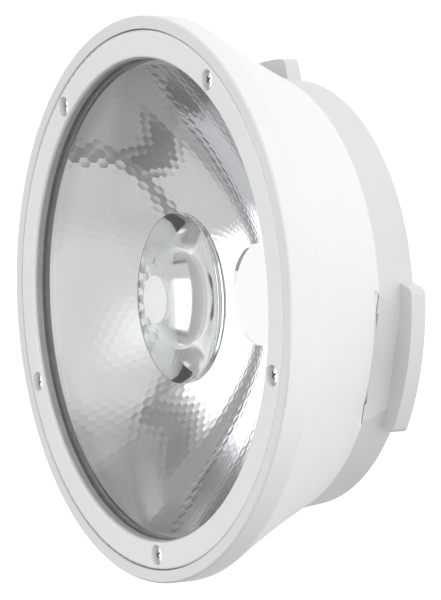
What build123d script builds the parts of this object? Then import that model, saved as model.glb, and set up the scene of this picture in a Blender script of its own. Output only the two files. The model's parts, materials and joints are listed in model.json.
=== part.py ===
"""Clip-on spot optic for a studio lamp: faceted bowl, centre lens, clear cover and twist-lock ring.

The optical axis is the Y axis, the light leaves towards -Y and +Z is up.  The origin is the centre
of the mouth of the bore that the lamp goes into.  All sizes are millimetres.
"""
from build123d import *
import os
from math import acos, degrees, sqrt

# ------------------------------------------------------------------ overall
overall_depth = 48.0            # front face to rear end
front_radius = 76.0             # outside of the front rim
front_turn = 30.0               # clock angle of the first front screw, seen from the front
grip_turn = 103.0               # clock angle of the first grip, seen from the front
running_gap = 0.3               # between faces that turn past each other
bearing_gap = 0.1               # between the lock ring's bore and the sleeve it turns on
seat_gap = 0.3                  # round a piece that drops into a pocket
screw_gap = 0.05                # round a screw shank

# ------------------------------------------------------------------ lamp mount
lamp_bore_radius = 49.5
sleeve_wall = 4.5
sleeve_relief = 2.0             # how much wider the sleeve is in front of the lamp's seat
sleeve_end_step = 6.0           # sleeve's rear end to the rear end of the unit
sleeve_flange_width = 4.4
sleeve_flange_thickness = 2.4
seat_lip = 2.5                  # inward lip that stops the lamp
seat_lip_step = 5.0             # front of that lip to the sleeve's rear end
seat_lip_thickness = 1.2
pad_thickness = 1.0
corner_relief = 0.8             # groove round the pad, in the sleeve's wall
sleeve_screw_count = 4
sleeve_screw_step = 2.4         # sleeve's outside to the circle of its screws
sleeve_screw_turn = 45.0
sleeve_screw_head = 1.7
sleeve_screw_head_height = 1.0
sleeve_screw_shank = 0.75
insert_radius = 1.25
insert_length = 2.2

# ------------------------------------------------------------------ housing shell
rim_depth = 6.8                 # straight side of the front rim
shell_step = 5.8                # rear face of the shell to the sleeve's rear end
shell_shoulder = 6.5            # sleeve's outside to the outside of the shell at the rear
shell_wall = 2.6                # side wall
rear_wall = 2.6                 # wall that the mount sleeve is screwed to
rim_edge_fillet = 0.5
rim_blend = 3.0                 # rounding where the rim side meets the taper
side_hollow = 0.5               # how far the tapering side is dished
ledge_width = 1.8               # what the bowl's flange rests on

# ------------------------------------------------------------------ front bezel and clear cover
rim_width = 3.8                 # front rim round the bezel
bezel_thickness = 2.8
bezel_lap = 1.2                 # how far the bezel covers the clear cover's edge
bezel_groove = 0.35             # shadow gap between the bezel and the rim
bezel_edge_fillet = 0.6
front_screw_count = 5
front_screw_inset = 3.8         # bezel's outside to the circle of the screws
front_screw_recess = 2.8        # radius of the shallow recess round each head
front_screw_recess_depth = 1.7
front_screw_head = 1.95
front_screw_head_height = 0.8
front_screw_shank = 1.0
front_screw_length = 8.0
cover_inset = 2.3               # circle of the screws to the clear cover's edge
cover_thickness = 2.4
gasket_thickness = 0.6
gasket_width = 2.0

# ------------------------------------------------------------------ reflector bowl
bowl_flange_width = 3.1
bowl_flange_thickness = 1.2
bowl_neck_radius = 14.0
bowl_neck_step = 3.4            # bowl's rear opening to the sleeve's rear end
bowl_wall = 1.4
neck_lip = 1.2                  # straight lip at the rear opening

# ------------------------------------------------------------------ centre lens
lens_radius = 23.2
lens_edge = 1.6                 # thickness of the lens disc at its edge
lens_nose_length = 7.0          # front of the disc to the flat end, bonded to the cover
lens_nose_radius = 13.4         # nose where it leaves the disc
lens_tip_radius = 6.6           # flat end of the nose
lens_bulge = 6.5                # height of the domed rear side

# ------------------------------------------------------------------ lock ring and what holds it
ring_step = 0.5                 # lock ring's front edge inside the shell's rear edge
ring_taper = 1.5                # how much the ring narrows towards the rear
ring_turn = 32.0                # how far the ring turns
washer_thickness = 0.5
washer_width = 4.4
retainer_lap = 1.9              # retaining ring's outside beyond the sleeve's
retainer_thickness = 1.0
retainer_screw_count = 6
retainer_screw_inset = 2.4      # lamp bore to the circle of the screws
retainer_screw_head = 1.8
retainer_screw_head_height = 0.9
retainer_screw_shank = 0.9
retainer_screw_length = 4.6
pin_radius = 1.2
pin_step = 2.6                  # sleeve's outside to the stop pin's middle
pin_length = 5.6
pin_seat_depth = 2.0            # how deep the stop pin sits in the shell
pin_turn = 20.0
grip_count = 3
grip_reach = 5.7                # how far a grip stands out from the ring
grip_width = 39.5
grip_thickness = 4.3
grip_corner = 2.5               # rounding of a grip's outer corners
pocket_corner = 3.0
pocket_depth = 1.1              # finger pocket's floor below the ring's rear outside
pocket_reach = 2.0              # how far each finger pocket runs into the shell
claw_plate_recess = 1.7         # rear end to the face the plate is screwed to
claw_plate_thickness = 1.0
claw_plate_inset = 1.2          # ring's rear outside to the plate's outside
claw_plate_width = 2.3
claw_plate_corner = 2.0
claw_clearance = 1.1            # claws stop this far outside the lamp bore
claw_angle = 40.0
claw_lead = 60.0                # claws sit this far round from the grips
ear_margin = 1.8                # grip's outside to the ear's
ear_side_margin = 4.75          # grip's side to the ear's
claw_screw_inset = 3.9          # grip's outside to the circle of the screws
claw_screw_side_inset = 5.0     # ear's side to a screw
claw_screw_head = 1.7
claw_screw_head_height = 0.6
claw_screw_shank = 0.75
claw_insert_length = 2.0

# ------------------------------------------------------------------ worked out from the above
sleeve_radius = lamp_bore_radius + sleeve_wall
sleeve_relief_radius = lamp_bore_radius + sleeve_relief
sleeve_flange_radius = sleeve_radius + sleeve_flange_width
sleeve_screw_circle = sleeve_radius + sleeve_screw_step
sleeve_end_depth = overall_depth - sleeve_end_step
seat_lip_depth = sleeve_end_depth - seat_lip_step
shell_depth = sleeve_end_depth - shell_step
shell_rear_radius = sleeve_radius + shell_shoulder
bezel_radius = front_radius - rim_width
front_screw_circle = bezel_radius - front_screw_inset
cover_radius = front_screw_circle - cover_inset
bezel_inner_radius = cover_radius - bezel_lap
bowl_mouth_radius = cover_radius - bowl_flange_width
bowl_neck_depth = sleeve_end_depth - bowl_neck_step
ring_front_radius = shell_rear_radius - ring_step
ring_rear_radius = ring_front_radius - ring_taper
washer_radius = sleeve_radius + washer_width
retainer_radius = sleeve_radius + retainer_lap
retainer_screw_circle = lamp_bore_radius + retainer_screw_inset
pin_circle = sleeve_radius + pin_step
grip_radius = ring_rear_radius + grip_reach
pocket_floor_radius = ring_rear_radius - pocket_depth
claw_plate_radius = ring_rear_radius - claw_plate_inset
claw_plate_inner_radius = claw_plate_radius - claw_plate_width
claw_inner_radius = lamp_bore_radius + claw_clearance
ear_radius = grip_radius - ear_margin
ear_width = grip_width - 2 * ear_side_margin
claw_screw_circle = grip_radius - claw_screw_inset
claw_screw_spacing = ear_width - 2 * claw_screw_side_inset
bezel_seat = bezel_thickness
cover_rear = bezel_seat + cover_thickness
lens_front_depth = cover_rear + lens_nose_length
flange_front = cover_rear + gasket_thickness
ledge_depth = flange_front + bowl_flange_thickness
recess_radius = bezel_radius + bezel_groove
pocket_radius = cover_radius + seat_gap
cavity_radius = pocket_radius - ledge_width
inner_face_depth = shell_depth - rear_wall
taper = (front_radius - shell_rear_radius) / (shell_depth - rim_depth)
taper_wall = shell_wall * sqrt(1 + taper**2)
cavity_rear_radius = shell_rear_radius + taper * rear_wall - taper_wall
cavity_bend_depth = rim_depth + (front_radius - taper_wall - cavity_radius) / taper
sleeve_front = inner_face_depth - sleeve_flange_thickness
pad_front = seat_lip_depth + seat_lip_thickness
pad_rear = pad_front + pad_thickness
washer_rear = shell_depth + washer_thickness
web_front = washer_rear + running_gap
web_rear = sleeve_end_depth - running_gap
web_bore = sleeve_radius + bearing_gap
mouth_depth = sleeve_end_depth + retainer_thickness
ring_front = shell_depth + running_gap
skirt_bore = retainer_radius + running_gap
claw_plate_front = overall_depth - claw_plate_recess
claw_plate_rear = claw_plate_front + claw_plate_thickness
grip_front = overall_depth - grip_thickness
slot_half_width = pin_radius + running_gap
slot_depth = pin_length - pin_seat_depth + running_gap - (web_front - shell_depth)
slot_end_angle = degrees(slot_half_width / pin_circle)
grip_angles = [grip_turn + step * 360 / grip_count for step in range(grip_count)]

os.makedirs("parts", exist_ok=True)


def height(distance):
    """Y coordinate of a point this far behind the front face."""
    return distance - mouth_depth


def square_to_axis(distance):
    """Plane across the optical axis, this far behind the front face, facing the rear."""
    return Plane(origin=(0, height(distance), 0), x_dir=(-1, 0, 0), z_dir=(0, 1, 0))


def polar(clock):
    """Angle on such a plane of a clock angle, seen from the front and clockwise from the top."""
    return 90 + clock


def profile(*points):
    """Closed half outline from (radius, distance behind the front) points."""
    with BuildSketch(Plane.XY) as outline:
        with BuildLine():
            Polyline(*[(radius, height(distance)) for radius, distance in points], close=True)
        make_face()
    return outline.sketch


def ring_sector(inner, outer, middle, span):
    """Part of a flat ring, centred on a clock angle."""
    start = polar(middle) - span / 2
    with BuildSketch() as sector:
        with BuildLine():
            far = CenterArc((0, 0), outer, start, span)
            near = CenterArc((0, 0), inner, start, span)
            Line(far @ 0, near @ 0)
            Line(far @ 1, near @ 1)
        make_face()
    return sector.sketch


def claw_plate_outline(spread=0.0):
    """Ring with an ear behind each grip; spread makes the recess that the plate drops into."""
    with BuildSketch() as outline:
        Circle(claw_plate_radius + spread)
        with PolarLocations((ear_radius + spread) / 2, grip_count, start_angle=polar(grip_turn)):
            RectangleRounded(ear_radius + spread, ear_width + 2 * spread, claw_plate_corner)
        Circle(claw_plate_inner_radius, mode=Mode.SUBTRACT)
    return outline.sketch


def finish(piece, name):
    """Label a finished piece and write its file."""
    piece.part.label = name
    export_step(piece.part, f"parts/{name}.step")


def plain_ring(name, inner, outer, front, thickness):
    """A flat ring round the axis."""
    with BuildPart() as piece:
        with BuildSketch(square_to_axis(front)):
            Circle(outer)
            Circle(inner, mode=Mode.SUBTRACT)
        extrude(amount=thickness)
    finish(piece, name)


def screws(name, places, head_front, head_radius, head_height, shank_radius, length, facing=1):
    """Cross-head screws at the given places; facing is 1 for heads to the front, -1 to the rear."""
    with BuildPart() as piece:
        with BuildSketch(square_to_axis(head_front)):
            with places:
                Circle(head_radius)
        extrude(amount=facing * head_height)
        with BuildSketch(square_to_axis(head_front)):
            with places:
                Circle(shank_radius)
        extrude(amount=facing * length)
        with BuildSketch(square_to_axis(head_front)):
            with places:
                Rectangle(1.5 * head_radius, 0.3 * head_radius)
                Rectangle(0.3 * head_radius, 1.5 * head_radius)
        extrude(amount=facing * head_height * 0.7, mode=Mode.SUBTRACT)
    finish(piece, name)


def front_screw_places(radius=front_screw_circle):
    """Places of the front screws."""
    return PolarLocations(radius, front_screw_count, start_angle=polar(front_turn))


def sleeve_screw_places():
    """Places of the screws that hold the mount sleeve."""
    return PolarLocations(sleeve_screw_circle, sleeve_screw_count, start_angle=polar(sleeve_screw_turn))


def retainer_screw_places():
    """Places of the screws that hold the retaining ring."""
    return PolarLocations(retainer_screw_circle, retainer_screw_count, start_angle=polar(grip_turn))


def claw_screw_places():
    """Two places behind each grip."""
    half_turn = degrees(acos(1 - claw_screw_spacing**2 / (2 * claw_screw_circle**2))) / 2
    turns = [polar(angle + side * half_turn) for angle in grip_angles for side in (-1, 1)]
    spots = [Vector(claw_screw_circle, 0).rotate(Axis.Z, turn) for turn in turns]
    return Locations(*[(spot.X, spot.Y) for spot in spots])


# ------------------------------------------------------------------ housing shell
with BuildPart() as housing_shell:
    with BuildSketch(Plane.XY):
        with BuildLine():
            SagittaArc(
                (front_radius, height(rim_depth)),
                (shell_rear_radius, height(shell_depth)),
                side_hollow,
            )
            Polyline(
                (shell_rear_radius, height(shell_depth)),
                (sleeve_radius + seat_gap, height(shell_depth)),
                (sleeve_radius + seat_gap, height(inner_face_depth)),
                (cavity_rear_radius, height(inner_face_depth)),
                (cavity_radius, height(cavity_bend_depth)),
                (cavity_radius, height(ledge_depth)),
                (pocket_radius, height(ledge_depth)),
                (pocket_radius, height(bezel_seat)),
                (recess_radius, height(bezel_seat)),
                (recess_radius, height(0)),
                (front_radius, height(0)),
                (front_radius, height(rim_depth)),
            )
        make_face()
    revolve(axis=Axis.Y)
    rim_circles = housing_shell.edges().filter_by(GeomType.CIRCLE)
    outer_circles = [edge for edge in rim_circles if abs(edge.radius - front_radius) < 0.01]
    fillet([edge for edge in outer_circles if edge.center().Y < height(rim_depth / 2)], rim_edge_fillet)
    outer_circles = [
        edge for edge in housing_shell.edges().filter_by(GeomType.CIRCLE)
        if abs(edge.radius - front_radius) < 0.01 and edge.center().Y > height(rim_depth / 2)
    ]
    fillet(outer_circles, rim_blend)
    # pilot holes for the front screws
    with BuildSketch(square_to_axis(bezel_seat)):
        with front_screw_places():
            Circle(front_screw_shank + screw_gap)
    extrude(amount=front_screw_length, mode=Mode.SUBTRACT)
    # seats of the sleeve screws' inserts
    with BuildSketch(square_to_axis(inner_face_depth)):
        with sleeve_screw_places():
            Circle(insert_radius)
    extrude(amount=insert_length, mode=Mode.SUBTRACT)
    # seat of the stop pin
    with BuildSketch(square_to_axis(shell_depth - pin_seat_depth)):
        with PolarLocations(pin_circle, 1, start_angle=polar(pin_turn)):
            Circle(pin_radius)
    extrude(amount=pin_seat_depth, mode=Mode.SUBTRACT)
    # start of each finger pocket
    with BuildSketch(square_to_axis(shell_depth - pocket_reach)):
        with PolarLocations(0, grip_count, start_angle=polar(grip_turn)):
            with Locations((front_radius, 0)):
                RectangleRounded(2 * (front_radius - pocket_floor_radius), grip_width, pocket_corner)
    extrude(amount=pocket_reach, mode=Mode.SUBTRACT)
finish(housing_shell, "housing_shell")

# ------------------------------------------------------------------ bezel, cover and gaskets
with BuildPart() as bezel_ring:
    with BuildSketch(square_to_axis(0)):
        Circle(bezel_radius)
        Circle(bezel_inner_radius, mode=Mode.SUBTRACT)
    extrude(amount=bezel_thickness)
    front_edges = bezel_ring.edges().group_by(Axis.Y)[0]
    fillet(front_edges, bezel_edge_fillet)
    with BuildSketch(square_to_axis(0)):
        with front_screw_places():
            Circle(front_screw_recess)
    extrude(amount=front_screw_recess_depth, mode=Mode.SUBTRACT)
    with BuildSketch(square_to_axis(0)):
        with front_screw_places():
            Circle(front_screw_shank + screw_gap)
    extrude(amount=bezel_thickness, mode=Mode.SUBTRACT)
finish(bezel_ring, "bezel_ring")

screws("bezel_screws", front_screw_places(), front_screw_recess_depth - front_screw_head_height,
       front_screw_head, front_screw_head_height, front_screw_shank, front_screw_length)

with BuildPart() as front_cover:
    with BuildSketch(square_to_axis(bezel_seat)):
        Circle(cover_radius)
    extrude(amount=cover_thickness)
finish(front_cover, "front_cover")

plain_ring("cover_gasket", cover_radius - gasket_width, cover_radius, cover_rear, gasket_thickness)

# ------------------------------------------------------------------ reflector bowl
focus = (bowl_mouth_radius**2 - bowl_neck_radius**2) / (4 * (bowl_neck_depth - neck_lip - flange_front))


def bowl_depth(radius):
    """Distance behind the front of the bowl's mirror surface at this radius."""
    return flange_front + (bowl_mouth_radius**2 - radius**2) / (4 * focus)


with BuildPart() as reflector:
    with BuildSketch(Plane.XY):
        with BuildLine():
            middle_radius = (bowl_mouth_radius + bowl_neck_radius) / 2
            ThreePointArc(
                (bowl_mouth_radius, height(flange_front)),
                (middle_radius, height(bowl_depth(middle_radius))),
                (bowl_neck_radius, height(bowl_depth(bowl_neck_radius))),
            )
            Polyline(
                (bowl_neck_radius, height(bowl_depth(bowl_neck_radius))),
                (bowl_neck_radius, height(bowl_neck_depth)),
                (bowl_neck_radius + bowl_wall, height(bowl_neck_depth)),
                (bowl_neck_radius + bowl_wall, height(bowl_depth(bowl_neck_radius))),
            )
            ThreePointArc(
                (bowl_neck_radius + bowl_wall, height(bowl_depth(bowl_neck_radius))),
                (middle_radius + bowl_wall, height(bowl_depth(middle_radius) + bowl_wall / 2)),
                (cavity_radius - seat_gap, height(ledge_depth)),
            )
            Polyline(
                (cavity_radius - seat_gap, height(ledge_depth)),
                (cover_radius, height(ledge_depth)),
                (cover_radius, height(flange_front)),
                (bowl_mouth_radius, height(flange_front)),
            )
        make_face()
    revolve(axis=Axis.Y)
finish(reflector, "reflector")

# ------------------------------------------------------------------ centre lens
with BuildPart() as collimator_lens:
    disc_rear = lens_front_depth + lens_edge
    with BuildSketch(Plane.XY):
        with BuildLine():
            Polyline(
                (0, height(disc_rear + lens_bulge)),
                (0, height(cover_rear)),
                (lens_tip_radius, height(cover_rear)),
                (lens_nose_radius, height(lens_front_depth)),
                (lens_radius, height(lens_front_depth)),
                (lens_radius, height(disc_rear)),
            )
            bulge_radius = (lens_radius**2 + lens_bulge**2) / (2 * lens_bulge)
            RadiusArc(
                (lens_radius, height(disc_rear)),
                (0, height(disc_rear + lens_bulge)),
                -bulge_radius,
            )
        make_face()
    revolve(axis=Axis.Y)
finish(collimator_lens, "collimator_lens")

# ------------------------------------------------------------------ mount sleeve
with BuildPart() as mount_sleeve:
    add(profile(
        (sleeve_relief_radius, sleeve_front),
        (sleeve_flange_radius, sleeve_front),
        (sleeve_flange_radius, inner_face_depth),
        (sleeve_radius, inner_face_depth),
        (sleeve_radius, sleeve_end_depth),
        (lamp_bore_radius, sleeve_end_depth),
        (lamp_bore_radius, pad_rear),
        (lamp_bore_radius + corner_relief, pad_rear),
        (lamp_bore_radius + corner_relief, pad_front),
        (lamp_bore_radius - seat_lip, pad_front),
        (lamp_bore_radius - seat_lip, seat_lip_depth),
        (sleeve_relief_radius, seat_lip_depth),
    ))
    revolve(axis=Axis.Y)
    with BuildSketch(square_to_axis(sleeve_front)):
        with sleeve_screw_places():
            Circle(sleeve_screw_shank + screw_gap)
    extrude(amount=sleeve_flange_thickness, mode=Mode.SUBTRACT)
    with BuildSketch(square_to_axis(sleeve_end_depth - retainer_screw_length)):
        with retainer_screw_places():
            Circle(retainer_screw_shank + screw_gap)
    extrude(amount=retainer_screw_length, mode=Mode.SUBTRACT)
finish(mount_sleeve, "mount_sleeve")

with BuildPart() as sleeve_inserts:
    with BuildSketch(square_to_axis(inner_face_depth)):
        with sleeve_screw_places():
            Circle(insert_radius)
            Circle(sleeve_screw_shank + screw_gap, mode=Mode.SUBTRACT)
    extrude(amount=insert_length)
finish(sleeve_inserts, "sleeve_inserts")

screws("sleeve_screws", sleeve_screw_places(), sleeve_front - sleeve_screw_head_height,
       sleeve_screw_head, sleeve_screw_head_height, sleeve_screw_shank,
       sleeve_screw_head_height + sleeve_flange_thickness + insert_length - screw_gap)

plain_ring("lamp_seat_pad", lamp_bore_radius - seat_lip, lamp_bore_radius, pad_front, pad_thickness)

# ------------------------------------------------------------------ what holds the lock ring
with BuildPart() as friction_washer:
    with BuildSketch(square_to_axis(shell_depth)):
        Circle(washer_radius)
        Circle(web_bore, mode=Mode.SUBTRACT)
        with PolarLocations(pin_circle, 1, start_angle=polar(pin_turn)):
            Circle(pin_radius + screw_gap, mode=Mode.SUBTRACT)
    extrude(amount=washer_thickness)
finish(friction_washer, "friction_washer")

with BuildPart() as stop_pin:
    with BuildSketch(square_to_axis(shell_depth - pin_seat_depth)):
        with PolarLocations(pin_circle, 1, start_angle=polar(pin_turn)):
            Circle(pin_radius)
    extrude(amount=pin_length)
finish(stop_pin, "stop_pin")

with BuildPart() as retaining_ring:
    with BuildSketch(square_to_axis(sleeve_end_depth)):
        Circle(retainer_radius)
        Circle(lamp_bore_radius, mode=Mode.SUBTRACT)
        with retainer_screw_places():
            Circle(retainer_screw_shank + screw_gap, mode=Mode.SUBTRACT)
    extrude(amount=retainer_thickness)
finish(retaining_ring, "retaining_ring")

screws("retaining_screws", retainer_screw_places(),
       sleeve_end_depth + retainer_thickness + retainer_screw_head_height,
       retainer_screw_head, retainer_screw_head_height, retainer_screw_shank,
       retainer_screw_length + retainer_screw_head_height, facing=-1)

# ------------------------------------------------------------------ lock ring with its three grips
with BuildPart() as lock_ring:
    add(profile(
        (washer_radius + running_gap, ring_front),
        (ring_front_radius, ring_front),
        (ring_rear_radius, overall_depth),
        (skirt_bore, overall_depth),
        (skirt_bore, web_rear),
        (web_bore, web_rear),
        (web_bore, web_front),
        (washer_radius + running_gap, web_front),
    ))
    revolve(axis=Axis.Y)
    # finger pockets
    with BuildSketch(square_to_axis(ring_front)):
        with PolarLocations(0, grip_count, start_angle=polar(grip_turn)):
            with Locations((front_radius, 0)):
                RectangleRounded(2 * (front_radius - pocket_floor_radius), grip_width, pocket_corner)
    extrude(amount=grip_front - ring_front, mode=Mode.SUBTRACT)
    # grips
    with BuildSketch(square_to_axis(grip_front)) as grips:
        with PolarLocations(grip_radius / 2, grip_count, start_angle=polar(grip_turn)):
            Rectangle(grip_radius, grip_width)
        Circle(grip_radius, mode=Mode.INTERSECT)
        Circle(skirt_bore, mode=Mode.SUBTRACT)
        outer_corners = [c for c in grips.vertices() if c.center().length > grip_radius - screw_gap]
        fillet(outer_corners, grip_corner)
    extrude(amount=grip_thickness)
    # recess of the claw plate, and the seats of its inserts
    with BuildSketch(square_to_axis(claw_plate_front)):
        add(claw_plate_outline(seat_gap))
    extrude(amount=claw_plate_recess, mode=Mode.SUBTRACT)
    with BuildSketch(square_to_axis(claw_plate_front)):
        with claw_screw_places():
            Circle(insert_radius)
    extrude(amount=-claw_insert_length, mode=Mode.SUBTRACT)
    # slot that runs over the stop pin, as long as the ring turns
    with BuildSketch(square_to_axis(web_front)):
        add(ring_sector(pin_circle - slot_half_width, pin_circle + slot_half_width,
                        pin_turn - ring_turn / 2, ring_turn + 2 * slot_end_angle))
    extrude(amount=slot_depth, mode=Mode.SUBTRACT)
finish(lock_ring, "lock_ring")

# ------------------------------------------------------------------ claw plate
with BuildPart() as claw_plate:
    with BuildSketch(square_to_axis(claw_plate_front)):
        add(claw_plate_outline())
        for angle in grip_angles:
            add(ring_sector(claw_inner_radius, claw_plate_radius, angle + claw_lead, claw_angle))
        with claw_screw_places():
            Circle(claw_screw_shank + screw_gap, mode=Mode.SUBTRACT)
    extrude(amount=claw_plate_thickness)
finish(claw_plate, "claw_plate")

with BuildPart() as claw_inserts:
    with BuildSketch(square_to_axis(claw_plate_front)):
        with claw_screw_places():
            Circle(insert_radius)
            Circle(claw_screw_shank + screw_gap, mode=Mode.SUBTRACT)
    extrude(amount=-claw_insert_length)
finish(claw_inserts, "claw_inserts")

screws("claw_screws", claw_screw_places(), claw_plate_rear + claw_screw_head_height,
       claw_screw_head, claw_screw_head_height, claw_screw_shank,
       claw_screw_head_height + claw_plate_thickness + claw_insert_length - screw_gap, facing=-1)
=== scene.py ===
"""Spot optic for a studio lamp: mirror bowl, centre lens, clear cover, white housing and lock ring.

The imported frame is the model's structure.  This script dresses it: it models the faceted bowl, the
centre lens, the cover's seal and the cross-head screws, gives every part its finish, and sets up a
pale studio.  The light leaves towards -Y, +Z is up, and all lengths are metres.
"""
from __future__ import annotations

import json
import logging
import math
import random
import sys
from dataclasses import dataclass, field
from enum import Enum
from typing import Sequence

import bmesh
import bpy
from mathutils import Matrix, Vector

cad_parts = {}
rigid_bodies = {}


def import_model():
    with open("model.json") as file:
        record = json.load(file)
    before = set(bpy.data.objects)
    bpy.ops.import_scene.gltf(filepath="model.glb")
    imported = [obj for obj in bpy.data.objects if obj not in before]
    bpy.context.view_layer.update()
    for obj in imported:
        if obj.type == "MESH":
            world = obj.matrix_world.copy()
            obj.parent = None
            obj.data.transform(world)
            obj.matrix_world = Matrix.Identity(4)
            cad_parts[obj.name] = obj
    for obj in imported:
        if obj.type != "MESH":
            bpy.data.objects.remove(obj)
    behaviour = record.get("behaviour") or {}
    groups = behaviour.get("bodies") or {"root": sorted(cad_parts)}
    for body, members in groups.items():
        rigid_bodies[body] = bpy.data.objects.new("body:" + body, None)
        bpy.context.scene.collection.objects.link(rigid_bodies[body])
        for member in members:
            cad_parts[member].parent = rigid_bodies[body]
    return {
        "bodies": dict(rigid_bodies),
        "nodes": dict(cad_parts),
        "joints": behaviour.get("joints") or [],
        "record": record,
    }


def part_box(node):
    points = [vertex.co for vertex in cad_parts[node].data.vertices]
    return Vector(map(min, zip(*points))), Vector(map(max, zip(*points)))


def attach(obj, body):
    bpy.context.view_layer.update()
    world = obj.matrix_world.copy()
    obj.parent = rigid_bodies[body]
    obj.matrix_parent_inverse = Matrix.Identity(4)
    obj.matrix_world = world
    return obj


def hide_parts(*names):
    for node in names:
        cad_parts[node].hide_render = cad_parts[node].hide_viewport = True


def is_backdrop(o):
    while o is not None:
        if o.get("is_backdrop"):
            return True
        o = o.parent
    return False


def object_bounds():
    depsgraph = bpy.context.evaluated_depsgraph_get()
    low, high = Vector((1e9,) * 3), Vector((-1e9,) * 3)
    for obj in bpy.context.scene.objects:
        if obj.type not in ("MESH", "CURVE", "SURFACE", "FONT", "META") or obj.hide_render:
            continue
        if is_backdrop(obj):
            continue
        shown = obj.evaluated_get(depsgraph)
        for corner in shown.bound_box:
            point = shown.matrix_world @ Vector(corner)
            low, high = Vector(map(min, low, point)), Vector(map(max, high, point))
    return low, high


MM = 0.001
AXIS_TOUCH = 1e-7  # an outline point closer to the axis than this is a single vertex
WELD = 1e-6  # vertices of one solid that are closer than this are the same
LOG = logging.getLogger("spot_optic")

Colour = tuple[float, float, float]
Point = tuple[float, float]
Ring = list[bmesh.types.BMVert]
Corners = dict[tuple[int, int], bmesh.types.BMVert]


class Body(Enum):
    """The two bodies of the frame."""

    HEAD = "optic_head"
    LOCK_RING = "lock_ring"


class Facing(Enum):
    """Which way the heads of a set of screws look."""

    FRONT = "front"
    REAR = "rear"


class Slot(Enum):
    """Material slots of the record."""

    WHITE_PLASTIC = "white_plastic"
    CLEAR_PLASTIC = "clear_plastic"
    MIRROR_FILM = "mirror_film"
    BRIGHT_STEEL = "bright_steel"
    SEAL_RUBBER = "seal_rubber"


@dataclass(frozen=True)
class Texture:
    """One noise: waves per metre, octaves, and how strong the finer octaves are."""

    scale: float
    detail: float = 2.0
    roughness: float = 0.5


# ------------------------------------------------------------------ node trees


class Graph:
    """A small helper that writes a node tree."""

    def __init__(self, tree: bpy.types.NodeTree) -> None:
        """Start from an empty tree.

        Args:
            tree: the node tree to fill.
        """
        self.tree = tree
        tree.nodes.clear()

    def node(self, kind: str, **settings: object) -> bpy.types.Node:
        """Add a node.

        Args:
            kind: the node's type, without "ShaderNode".
            settings: attributes of the node.

        Returns:
            The new node.
        """
        made = self.tree.nodes.new("ShaderNode" + kind)
        for name, value in settings.items():
            setattr(made, name, value)
        return made

    def feed(self, target: bpy.types.NodeSocket, source: object) -> None:
        """Link a socket to its source, or set its value.

        Args:
            target: the input socket.
            source: an output socket, or a plain value.
        """
        if isinstance(source, bpy.types.NodeSocket):
            self.tree.links.new(source, target)
        else:
            target.default_value = source

    def math(self, operation: str, *values: object) -> bpy.types.NodeSocket:
        """Work out a number.

        Args:
            operation: the Math node's operation.
            values: sockets or numbers.

        Returns:
            The result's socket.
        """
        made = self.node("Math", operation=operation)
        for socket, value in zip(made.inputs, values):
            self.feed(socket, value)
        return made.outputs[0]

    def ramp(self, value: object, start: float, end: float, low: float, high: float,
             smooth: bool = False) -> bpy.types.NodeSocket:
        """Carry a value from one range to another, clamped.

        Args:
            value: the socket that is carried over.
            start: where the input range starts.
            end: where the input range ends.
            low: the output at the start.
            high: the output at the end.
            smooth: ease in and out.

        Returns:
            The result's socket.
        """
        made = self.node("MapRange", interpolation_type="SMOOTHSTEP" if smooth else "LINEAR")
        for name, number in (("Value", value), ("From Min", start), ("From Max", end),
                             ("To Min", low), ("To Max", high)):
            self.feed(made.inputs[name], number)
        return made.outputs["Result"]

    def noise(self, place: object, texture: Texture) -> bpy.types.NodeSocket:
        """Add noise.

        Args:
            place: the coordinates' socket.
            texture: what the noise is like.

        Returns:
            The noise's value, about 0.5 in the middle.
        """
        made = self.node("TexNoise")
        self.feed(made.inputs["Vector"], place)
        self.feed(made.inputs["Scale"], texture.scale)
        self.feed(made.inputs["Detail"], texture.detail)
        self.feed(made.inputs["Roughness"], texture.roughness)
        return made.outputs[0]

    def tint(self, factor: object, first: Colour, second: Colour) -> bpy.types.NodeSocket:
        """Mix two colours.

        Args:
            factor: 0 gives the first, 1 the second.
            first: a colour.
            second: a colour.

        Returns:
            The mixed colour's socket.
        """
        made = self.node("Mix", data_type="RGBA")
        self.feed(made.inputs["Factor"], factor)
        colours = [socket for socket in made.inputs if socket.type == "RGBA"]
        self.feed(colours[0], (*first, 1.0))
        self.feed(colours[1], (*second, 1.0))
        return [socket for socket in made.outputs if socket.type == "RGBA"][0]

    def reach(self, place: bpy.types.NodeSocket) -> bpy.types.NodeSocket:
        """Work out the distance from the optical axis.

        Args:
            place: the coordinates' socket.

        Returns:
            The distance's socket.
        """
        parts = self.node("SeparateXYZ")
        self.feed(parts.inputs[0], place)
        across = self.math("MULTIPLY", parts.outputs[0], parts.outputs[0])
        upward = self.math("MULTIPLY", parts.outputs[2], parts.outputs[2])
        return self.math("SQRT", self.math("ADD", across, upward))

    def bump(self, height: object, strength: float, distance: float,
             under: object = None) -> bpy.types.NodeSocket:
        """Add a bump.

        Args:
            height: the height's socket.
            strength: share of the full effect.
            distance: depth in metres.
            under: a coarser bump below this one.

        Returns:
            The normal's socket.
        """
        made = self.node("Bump")
        self.feed(made.inputs["Height"], height)
        self.feed(made.inputs["Strength"], strength)
        self.feed(made.inputs["Distance"], distance)
        if under is not None:
            self.feed(made.inputs["Normal"], under)
        return made.outputs[0]


def new_surface(name: str) -> tuple[bpy.types.Material, Graph, bpy.types.Node, bpy.types.NodeSocket]:
    """Start a material with one Principled shader.

    Args:
        name: the material's name.

    Returns:
        The material, its graph, the shader, and the object coordinates' socket.
    """
    material = bpy.data.materials.new(name)
    material.use_nodes = True
    graph = Graph(material.node_tree)
    shader = graph.node("BsdfPrincipled")
    output = graph.node("OutputMaterial")
    graph.feed(output.inputs["Surface"], shader.outputs[0])
    place = graph.node("TexCoord").outputs["Object"]
    return material, graph, shader, place


def darker(colour: Colour, share: float) -> Colour:
    """The colour at this share of its brightness."""
    return tuple(share * part for part in colour)


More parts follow.
